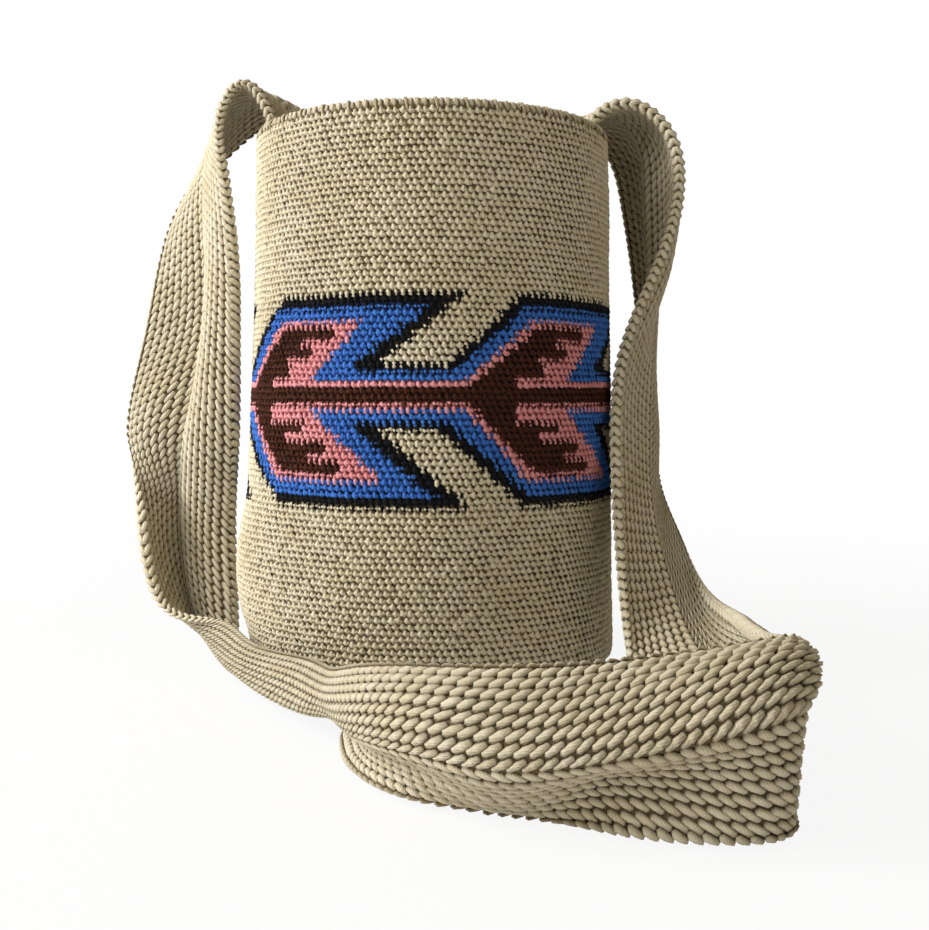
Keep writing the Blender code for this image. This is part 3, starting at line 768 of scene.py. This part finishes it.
# The strap's way, close to that of the solid, in centimetres: near edge, crease, far edge, and how each half bows
strapPlan = {
    "halfWidth": 0.039,
    "thickness": 0.0062,
    "lap": 0.024,
    "seat": 0.0006,  # gap between strap and wall
    "endTurn": 21.0,  # degrees towards the back, where the ends are sewn
    "belowEdge": 4 * mm,
    "aboveEdge": 6 * mm,
    "outOfEdge": 1.5 * mm,
    "bowShare": 0.375,  # three eighths, as for the rise of a flat arc
    "sharpestFold": (-0.99, 0.97),  # cosines between the halves
    "softReach": (0.04, 0.5),  # of the crease, as shares of a half's width
    "pinchReach": 0.5,  # how far from the crease the pinch reaches, as such a share
    "creasePinch": 1.2,
    "creaseRounding": 0.6,
    "crowding": 1.1,  # the strap gets thinner where its surface is crowded in a fold
    "thinnest": 0.3,
    "rows": 900,  # rows and columns of the grid that the ropes are laid on
    "columns": 48,
    "way": [
        ((-9.2, -1.1, 28.5), (-9.0, 2.9, 28.9), (-7.6, 6.5, 28.6), 1, 1),
        ((-10.2, -1.2, 26.8), (-11.0, 2.6, 27.2), (-10.4, 6.4, 27.4), 1, 1),
        ((-10.0, -1.5, 24.8), (-11.6, 2.3, 24.8), (-12.6, 6.0, 25.1), 1, 1),
        ((-9.3, -1.7, 20.4), (-11.3, 1.5, 20.5), (-14.2, 4.0, 20.9), 1, 1),
        ((-9.1, -1.9, 16.4), (-11.25, 0.9, 16.3), (-14.8, 2.5, 16.5), 1, 1),
        ((-9.3, -1.0, 11.4), (-12.3, 0.9, 11.3), (-15.5, 2.4, 11.6), 1, 1),
        ((-9.9, 1.2, 6.8), (-13.0, 2.9, 6.8), (-14.3, -0.2, 7.1), 1, -0.3),
        ((-9.6, 0.3, 3.0), (-12.4, 2.1, 3.3), (-12.9, -1.4, 3.4), 1, -0.2),
        ((-8.9, -2.2, 0.7), (-11.1, 0.1, 1.0), (-10.4, -2.4, 2.95), 0.4, -0.3),
        ((-5.8, -6.5, 0.5), (-8.9, -4.6, 0.65), (-8.1, -5.3, 2.6), 0.4, -0.3),
        ((-2.0, -10.3, 0.38), (-4.6, -12.2, 0.7), (-4.6, -9.3, 2.5), 1, -0.7),
        ((-2.9, -13.4, 0.3), (-3.2, -15.7, 1.3), (-3.4, -12.3, 2.9), 1, -1),
        ((-2.1, -16.7, 0.25), (-1.7, -19.8, 2.1), (-1.8, -16.5, 4.0), 1, -1),
        ((-0.3, -18.7, 0.22), (0.26, -21.8, 2.3), (0.1, -18.9, 4.5), 1, -1),
        ((2.65, -19.7, 0.2), (2.6, -23.0, 2.3), (2.68, -20.2, 4.8), 1, -1),
        ((6.6, -22.0, 0.13), (7.0, -23.5, 3.0), (7.0, -20.4, 5.05), 1, -1),
        ((11.2, -22.0, 0.08), (11.5, -22.4, 4.0), (12.1, -19.3, 5.45), 1, -1),
        ((11.6, -20.3, 0.1), (12.0, -20.3, 3.9), (12.2, -17.4, 5.3), 1, -0.4),
        ((11.2, -17.1, 0.16), (12.1, -17.0, 3.3), (11.8, -14.9, 4.9), 1, -1),
        ((9.6, -14.0, 0.16), (11.8, -13.2, 2.6), (12.1, -10.8, 4.8), 1, -1),
        ((8.5, -11.2, 0.8), (11.2, -9.6, 2.9), (12.1, -6.6, 4.9), 1, -1),
        ((8.1, -9.0, 3.0), (10.7, -6.3, 4.7), (11.75, -3.0, 6.6), 1, -1),
        ((8.1, -7.2, 6.1), (10.2, -4.0, 7.4), (11.2, -0.4, 8.6), 1, 1),
        ((8.2, -5.0, 10.2), (10.2, -1.6, 10.8), (11.0, 2.1, 11.2), 1, 1),
        ((8.7, -3.2, 14.9), (10.6, 0.3, 14.9), (10.9, 4.1, 15.1), 1, 1),
        ((10.6, -1.5, 19.5), (10.9, 2.0, 19.6), (10.6, 5.5, 19.7), 1, 1),
        ((11.9, -1.0, 23.6), (10.9, 2.6, 24.0), (10.0, 6.0, 24.0), 1, 1),
        ((11.2, -1.0, 26.4), (10.4, 2.7, 26.9), (8.9, 6.1, 26.9), 1, 1),
        ((9.6, -1.1, 27.5), (8.9, 2.8, 28.0), (7.0, 6.3, 28.0), 1, 1),
    ],
}


def endStation(side, radius, z, plan=strapPlan):
    # across the strap where it lies against the wall, inside the mouth
    reach = math.degrees(plan["halfWidth"] / radius)
    angles = [math.radians(turn) for turn in (plan["endTurn"] - reach, plan["endTurn"], plan["endTurn"] + reach)]
    return (*[(side * radius * math.cos(a), radius * math.sin(a), z) for a in angles], -1, -1)


def strapStations(plan=strapPlan):
    seat = bagPlan["radius"] - bagPlan["wall"] - plan["seat"] - plan["thickness"] / 2
    top = bagPlan["height"]
    ends = [(top - plan["lap"], seat), (top - plan["belowEdge"], seat),
            (top + plan["aboveEdge"], seat + plan["outOfEdge"])]
    stations = [endStation(-1, radius, z) for z, radius in ends]
    for near, centre, far, bowNear, bowFar in plan["way"]:
        points = [tuple(value / 100 for value in point) for point in (near, centre, far)]
        stations.append((*points, bowNear, bowFar))
    return stations + [endStation(1, radius, z) for z, radius in reversed(ends)]


def smoothThrough(knots, values, at):
    # natural cubic spline through the values at the knots
    count = len(knots)
    gaps = np.diff(knots)
    system = np.eye(count)
    right = np.zeros((count, values.shape[1]))
    for i in range(1, count - 1):
        system[i, i - 1:i + 2] = gaps[i - 1], 2 * (gaps[i - 1] + gaps[i]), gaps[i]
        right[i] = 6 * ((values[i + 1] - values[i]) / gaps[i] - (values[i] - values[i - 1]) / gaps[i - 1])
    bend = np.linalg.solve(system, right)
    k = np.clip(np.searchsorted(knots, at, side="right") - 1, 0, count - 2)
    gap = gaps[k][:, None]
    a = (knots[k + 1] - at)[:, None] / gap
    b = 1.0 - a
    return a * values[k] + b * values[k + 1] + ((a**3 - a) * bend[k] + (b**3 - b) * bend[k + 1]) * gap**2 / 6


def unit(vectors):
    return vectors / np.linalg.norm(vectors, axis=-1, keepdims=True)


def strapSurface(plan=strapPlan):
    # the strap's middle surface as a grid, with its normals towards the inner face and its thickness share
    stations = strapStations()
    centre = np.array([station[1] for station in stations])
    knots = np.concatenate([[0.0], np.cumsum(np.linalg.norm(np.diff(centre, axis=0), axis=1))])
    at = np.linspace(0.0, knots[-1], plan["rows"] + 1)
    middle = smoothThrough(knots, centre, at)
    along = unit(np.gradient(middle, axis=0))
    reach, bow = {}, {}
    for side, index in ((-1, 0), (1, 2)):
        edge = np.array([station[index] for station in stations])
        sign = np.array([station[3 if side < 0 else 4] for station in stations])
        away = edge - centre
        length = np.linalg.norm(away, axis=1)
        held = np.minimum(length, plan["halfWidth"])
        rise = sign * np.sqrt(plan["bowShare"] * (plan["halfWidth"] - held) * held)
        reach[side] = smoothThrough(knots, away * (held / length)[:, None], at)
        bow[side] = unit(np.cross(along, -side * reach[side])) * smoothThrough(knots, rise[:, None], at)
    fold = np.arccos(np.clip((unit(reach[-1]) * unit(reach[1])).sum(axis=1), *plan["sharpestFold"])) / 2
    soft = plan["creaseRounding"] * plan["thickness"] * np.cos(fold) / np.sin(fold) ** 2
    soft = np.clip(soft / plan["halfWidth"], *plan["softReach"])[:, None]

    def half(side, share):
        share = np.broadcast_to(share, (len(at), 1))
        return middle + reach[side] * share + bow[side] * 4 * share * (1 - share)

    columns = np.linspace(-1.0, 1.0, plan["columns"] + 1)
    grid = np.zeros((len(at), len(columns), 3))
    for column, across in enumerate(columns):
        share = np.clip((across / soft + 1) / 2, 0, 1)
        blended = half(-1, soft) * (1 - share) ** 2 + middle * 2 * share * (1 - share) + half(1, soft) * share**2
        open = half(1 if across > 0 else -1, abs(across))
        grid[:, column] = np.where(abs(across) >= soft, open, blended)
    downWay = np.gradient(grid, axis=0)
    crossWay = np.gradient(grid, axis=1)
    normal = np.cross(downWay, crossWay)
    area = np.linalg.norm(normal, axis=2)
    step = np.linalg.norm(downWay[:, plan["columns"] // 2], axis=1)[:, None]
    share = np.clip(plan["crowding"] * area / (step * 2 * plan["halfWidth"] / plan["columns"]), plan["thinnest"], 1)
    nearCrease = np.abs(columns)[None, :] <= plan["pinchReach"]
    share = np.where(nearCrease, share * (1.0 - plan["creasePinch"] * soft), share)
    length = np.concatenate([[0.0], np.cumsum(np.linalg.norm(np.diff(middle, axis=0), axis=1))])
    outer = {-1: -unit(crossWay[:, 0]), 1: unit(crossWay[:, -1])}
    return {"grid": grid, "normal": normal / area[..., None], "share": share, "length": length, "outer": outer}


strapGrid = strapSurface()
strapLength = strapGrid["length"][-1]


def onStrap(along, across, lift):
    # along is metres down the crease, across metres from it, lift metres towards the inner face
    plan = strapPlan
    row = np.interp(along, strapGrid["length"], np.arange(len(strapGrid["length"])))
    held = np.clip(across / plan["halfWidth"], -1.0, 1.0)
    column = (held + 1) / 2 * plan["columns"]
    i = np.clip(row.astype(int), 0, plan["rows"] - 1)
    j = np.clip(column.astype(int), 0, plan["columns"] - 1)
    u, v = row - i, column - j

    def blended(values):
        if values.ndim == 3:
            a, b = u[..., None], v[..., None]
        else:
            a, b = u, v
        return ((values[i, j] * (1 - a) + values[i + 1, j] * a) * (1 - b)
                + (values[i, j + 1] * (1 - a) + values[i + 1, j + 1] * a) * b)

    place = blended(strapGrid["grid"]) + blended(strapGrid["normal"]) * (lift * blended(strapGrid["share"]))[..., None]
    past = across - held * plan["halfWidth"]
    outwards = np.where((across > 0)[..., None], strapGrid["outer"][1][i], strapGrid["outer"][-1][i])
    return place + outwards * np.abs(past)[..., None]


# Ropes of the strap, each a twisted cord whose strands cross it at a slant, and a plait along each edge
ropePlan = {
    "ropesEachHalf": 8,
    "pitch": 4.65 * mm,
    "strand": {"half": (4.3 * mm, 1.5 * mm, 1.45 * mm)},
    "blunt": 0.8,
    "slant": 34.0,  # degrees across the rope
    "lift": 1.5 * mm,
    "wrap": 0.2 / mm,  # how fast a strand's ends dive round the rope
    # painted shade in the grooves between the strands and ropes
    "hollowReach": 2.2 * mm,
    "hollowMost": 0.95,
    "braidPitch": 4.4 * mm,
    "braid": {"half": (2.9 * mm, 1.4 * mm, 1.35 * mm)},
    "braidSlant": 34.0,
    "braidLift": 1.25 * mm,
    "braidOut": -1.2 * mm,  # past the strap's edge
    "braidWrap": 0.12 / mm,
    "braidLean": 0.2,
    "edgeRoom": 2.4 * mm,  # left for the plaits
    "endRoom": 1.5 * mm,
    "turnSpread": 2.5,  # chance differences: turn in degrees, size, and shifts
    "growSpread": 0.04,
    "wayShift": 0.12 * mm,
    "liftShift": 0.06 * mm,
    "braidTurnSpread": 3.0,
}


def strandPlaces(half, plan=ropePlan):
    # where each strand's middle lies on one half: metres along, and metres across
    width = (strapPlan["halfWidth"] - plan["edgeRoom"]) / plan["ropesEachHalf"]
    count = int((strapLength - 2 * plan["endRoom"]) / plan["pitch"])
    pitch = (strapLength - 2 * plan["endRoom"]) / count
    along, across = [], []
    for rope in range(plan["ropesEachHalf"]):
        shift = 0.25 + 0.5 * (rope % 2)
        along.append(plan["endRoom"] + (np.arange(count) + shift) * pitch)
        across.append(np.full(count, half * (rope + 0.5) * width))
    return np.concatenate(along), np.concatenate(across)


def layStrands(half, face, along, across, plan=ropePlan):
    lean = math.radians(plan["slant"]) * half

    def layOut(points, draw):
        count = len(points)
        x, y, z = (points[..., axis] for axis in range(3))
        x, y = turnedBy(x, y, lean + np.radians(spread(draw, count, plan["turnSpread"])))
        grow = 1.0 + spread(draw, count, plan["growSpread"])
        sideways, forwards = grow * y, grow * x + spread(draw, count, plan["wayShift"])
        lift = plan["lift"] + z - plan["wrap"] * sideways**2 + spread(draw, count, plan["liftShift"])
        crest = plan["lift"] + plan["strand"]["half"][2]
        # painted shade, more the lower a point lies below the strand's crest, so the grooves between ropes are dark
        hollow = (crest - lift) / plan["hollowReach"] * plan["hollowMost"]
        return onStrap(along[:, None] + forwards, across[:, None] + sideways, face * lift), hollow
    return layOut


def layBraid(side, face, along, plan=ropePlan):
    # one half of an edge's row of Vs, seen from the edge
    def layOut(points, draw):
        count = len(points)
        x, y, z = (points[..., axis] for axis in range(3))
        lean = -math.radians(plan["braidSlant"]) * face
        forwards, lift = turnedBy(x, y, lean + np.radians(spread(draw, count, plan["braidTurnSpread"])))
        forwards = forwards + spread(draw, count, plan["wayShift"])
        lift = lift + face * plan["braidLift"]
        outwards = z + plan["braidOut"] + plan["braidLean"] * x - plan["braidWrap"] * lift**2
        # painted shade, more the lower a point lies in the plait
        hollow = (plan["braid"]["half"][2] - z) / plan["hollowReach"] * plan["hollowMost"]
        return onStrap(along[:, None] + forwards, side * (strapPlan["halfWidth"] + outwards), lift), hollow
    return layOut


# The woven sheet under the ropes' crests, coloured mostly in painted hollow shade
corePlan = {
    "steps": 220,
    "columns": 14,
    "thickness": 1.1 * mm,
    "edgeRoom": 1.2 * mm,
    # painted shade: the sheet takes nine tenths of the hollow shade colour, over a darker tone than the strands'
    # average
    "shade": 0.3,
    "hollow": 0.9,
}


def makeStrapCore(plan=strapPlan, core=corePlan):
    # a fine grid laid on the strap's way, then thickened
    bm = bmesh.new()
    bmesh.ops.create_grid(bm, x_segments=core["steps"], y_segments=core["columns"], size=0.5)
    weight = bm.verts.layers.deform.verify()
    for vert in bm.verts:
        vert[weight][0] = 1.0
    mesh = newMesh("strapCore", bm)
    flat = readPoints(mesh)
    along = (flat[:, 0] + 0.5) * strapLength
    across = flat[:, 1] * 2 * (plan["halfWidth"] - core["edgeRoom"])
    writePoints(mesh, onStrap(along, across, np.zeros(len(flat))))
    piece = newObject("strapCore", mesh)
    group = piece.vertex_groups.new(name="share")
    rowsAt = np.interp(along, strapGrid["length"], np.arange(len(strapGrid["length"]))).round().astype(int)
    columnsAt = ((across / plan["halfWidth"] + 1) / 2 * plan["columns"]).round().astype(int)
    for vertex, share in zip(range(len(flat)), strapGrid["share"][rowsAt, columnsAt]):
        group.add([vertex], float(share), "REPLACE")
    thick = piece.modifiers.new("thickness", "SOLIDIFY")
    thick.thickness = core["thickness"]
    thick.offset = 0.0
    thick.vertex_group = "share"
    mesh = applied(piece)
    mesh.shade_smooth()
    count = len(mesh.vertices)
    spots = readPoints(mesh)
    writeAttribute(mesh, "grain", "FLOAT_VECTOR", spots / mm * np.array([1.0, 1.0, 0.0]))
    # painted shade on the sheet, as set above
    writeAttribute(mesh, "shade", "FLOAT", np.full(count, core["shade"]))
    writeAttribute(mesh, "hollow", "FLOAT", np.full(count, core["hollow"]))
    mesh.materials.clear()
    mesh.materials.append(materials["strap"])
    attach(piece, "root")
    return piece


strandBit = yarnBit([ropePlan["strand"]], sides=6, rings=4, blunt=ropePlan["blunt"])
for half, halfName in ((-1, "Near"), (1, "Far")):
    along, across = strandPlaces(half)
    for face, faceName in ((1, "Inner"), (-1, "Outer")):
        yarnPiece(
            "strapRopes" + halfName + faceName, strandBit, len(along), layStrands(half, face, along, across),
            materials["strap"], seed=31 + half + 3 * face)
braidBit = yarnBit([ropePlan["braid"]], sides=6, rings=4, blunt=ropePlan["blunt"])
vCount = int((strapLength - 2 * ropePlan["endRoom"]) / ropePlan["braidPitch"])
along = np.linspace(ropePlan["endRoom"], strapLength - ropePlan["endRoom"], vCount)
for side, sideName in ((-1, "Near"), (1, "Far")):
    for face, faceName in ((1, "Inner"), (-1, "Outer")):
        yarnPiece(
            "strapBraid" + sideName + faceName, braidBit, vCount, layBraid(side, face, along),
            materials["strap"], seed=41 + side + 3 * face)
strapCore = makeStrapCore()
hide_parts("strap")
print("strap made, length along its crease:", round(float(strapLength), 3), "m")


# Sewing yarn over the strap's lapped ends, inside the mouth
seamPlan = {
    "stitches": 16,
    "yarn": {"half": (4.6 * mm, 0.75 * mm, 0.7 * mm)},
    "slant": 1.1 * mm,
    "wallGap": 0.3 * mm,
    "faceGap": 0.2 * mm,
    "spanShare": 0.92,
    "turnSpread": 0.004,
    "climb": (0.35, 0.6),  # where along a stitch it rises over the strap's end, and how fast
    "drop": 1.6 * mm,  # middle of a stitch below the strap's end, and half its height
    "reach": 4.4 * mm,
    # painted shade on each seam stitch, more towards its underside
    "hollow": (0.5, 0.6),
}


def laySeam(side):
    # each stitch comes out of the wall below the strap, bends round its end and goes into its face
    def layOut(points, draw, plan=seamPlan):
        count = len(points)
        wall = bagPlan["radius"] - bagPlan["wall"] - plan["wallGap"]
        face = wall - strapPlan["thickness"] - plan["faceGap"]
        span = math.degrees(strapPlan["halfWidth"] / wall) * plan["spanShare"]
        halfLength, _, halfHeight = plan["yarn"]["half"]
        share = points[..., 0] / halfLength
        turn = np.radians(strapPlan["endTurn"] + span * np.linspace(-1, 1, count))[:, None]
        turn = turn + (points[..., 1] + share * plan["slant"]) / wall + spread(draw, count, plan["turnSpread"])
        start, rise = plan["climb"]
        climb = np.clip((share + start) / rise, 0, 1)
        ease = climb * climb * (3 - 2 * climb)
        radius = wall + (face - wall) * ease - points[..., 2]
        z = bagPlan["height"] - strapPlan["lap"] - plan["drop"] + share * plan["reach"]
        # painted shade, more towards each stitch's underside
        deepest, fall = plan["hollow"]
        hollow = deepest - fall * points[..., 2] / halfHeight
        return aroundAxis(turn, radius, z) * (side, 1, 1), hollow
    return layOut


seamBit = yarnBit([seamPlan["yarn"]], sides=6, rings=9)
for side, name in ((-1, "left_seam"), (1, "right_seam")):
    seam = yarnPiece(name.replace("_seam", "Seam"), seamBit, seamPlan["stitches"], laySeam(side),
                     materials["sewing"], seed=50 + side)
    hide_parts(name)
print("strap ends sewn")


# The solids that stay as the yarn's backing, coloured mostly in painted hollow shade
for node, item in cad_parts.items():
    colour = node.split("_")[0]
    chosenBacking = backings.get(colour, backings["pale"])
    for slotIndex in range(len(item.material_slots)):
        item.material_slots[slotIndex].material = chosenBacking


# Floor and light
stagePlan = {
    "floorZ": -0.9 * mm,  # the base's stitches stand a little proud of the solid
    "floorSize": 4.0,
    "floorColour": (0.80, 0.80, 0.80),
    "floorRoughness": 0.9,
    "shownWhite": 0.90,  # how white the camera sees it near the object; all white from whiteTo on
    "whiteFrom": 0.25,
    "whiteTo": 0.75,
    "ambient": 0.28,
    "ambientColour": (1.0, 0.88, 0.64),
    "target": (0.0, -0.03, 0.12),
    "lamps": [  # name, place, size, power and colour
        ("key", (-1.20, -0.26, 0.80), 0.7, 20.5, (1.0, 1.0, 1.0)),
        ("front", (-0.85, -1.15, 1.0), 0.9, 7.0, (1.0, 0.98, 0.94)),
    ],
}


def shownRays(tree):
    # 1 for the rays that show the background: straight, mirrored or through glass
    rays = tree.nodes.new("ShaderNodeLightPath")
    total = mathNode(tree, "MAXIMUM", rays.outputs["Is Camera Ray"], rays.outputs["Is Glossy Ray"])
    return mathNode(tree, "MAXIMUM", total, rays.outputs["Is Transmission Ray"])


def makeFloor(plan=stagePlan):
    # lit near the object, and shown ever whiter further out, so that the shadow stays and the floor has no end
    bm = bmesh.new()
    bmesh.ops.create_grid(bm, x_segments=1, y_segments=1, size=plan["floorSize"])
    bmesh.ops.translate(bm, verts=bm.verts, vec=(0.0, 0.0, plan["floorZ"]))
    mesh = newMesh("floor", bm)
    floor = newObject("floor", mesh)
    material = bpy.data.materials.new("paleFloor")
    material.use_nodes = True
    tree = material.node_tree
    shader = tree.nodes["Principled BSDF"]
    shader.inputs["Base Color"].default_value = (*plan["floorColour"], 1.0)
    shader.inputs["Roughness"].default_value = plan["floorRoughness"]
    white = tree.nodes.new("ShaderNodeEmission")
    mix = tree.nodes.new("ShaderNodeMixShader")
    place = tree.nodes.new("ShaderNodeTexCoord").outputs["Object"]
    away = tree.nodes.new("ShaderNodeVectorMath")
    away.operation = "LENGTH"
    tree.links.new(place, away.inputs[0])
    shown = rangeNode(tree, away.outputs["Value"], plan["whiteFrom"], plan["whiteTo"], plan["shownWhite"], 1.0)
    tree.links.new(mathNode(tree, "MULTIPLY", shownRays(tree), shown), mix.inputs["Fac"])
    tree.links.new(shader.outputs[0], mix.inputs[1])
    tree.links.new(white.outputs[0], mix.inputs[2])
    tree.links.new(mix.outputs[0], tree.nodes["Material Output"].inputs["Surface"])
    mesh.materials.append(material)
    floor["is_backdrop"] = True


def makeWorld(plan=stagePlan):
    world = bpy.data.worlds.new("studio")
    world.use_nodes = True
    tree = world.node_tree
    background = tree.nodes["Background"]
    lighting = tuple(plan["ambient"] * value for value in plan["ambientColour"])
    tree.links.new(mixedColour(tree, shownRays(tree), lighting, (1.0, 1.0, 1.0)), background.inputs["Color"])
    bpy.context.scene.world = world


def makeLamp(name, place, target, size, power, colour):
    data = bpy.data.lights.new(name, "AREA")
    data.shape = "DISK"
    data.size = size
    data.energy = power
    data.color = colour
    lamp = newObject(name, data)
    lamp.location = place
    lamp.rotation_euler = (Vector(target) - Vector(place)).to_track_quat("-Z", "Y").to_euler()


makeFloor()
makeWorld()
for name, place, size, power, colour in stagePlan["lamps"]:
    makeLamp(name, place, stagePlan["target"], size, power, colour)
print("floor and light set")

solids = list(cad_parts.values())
added = [item for item in bpy.context.scene.objects if item.type == "MESH" and item not in solids]
print("triangles added:", sum(len(face.vertices) - 2 for item in added for face in item.data.polygons))

low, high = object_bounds()
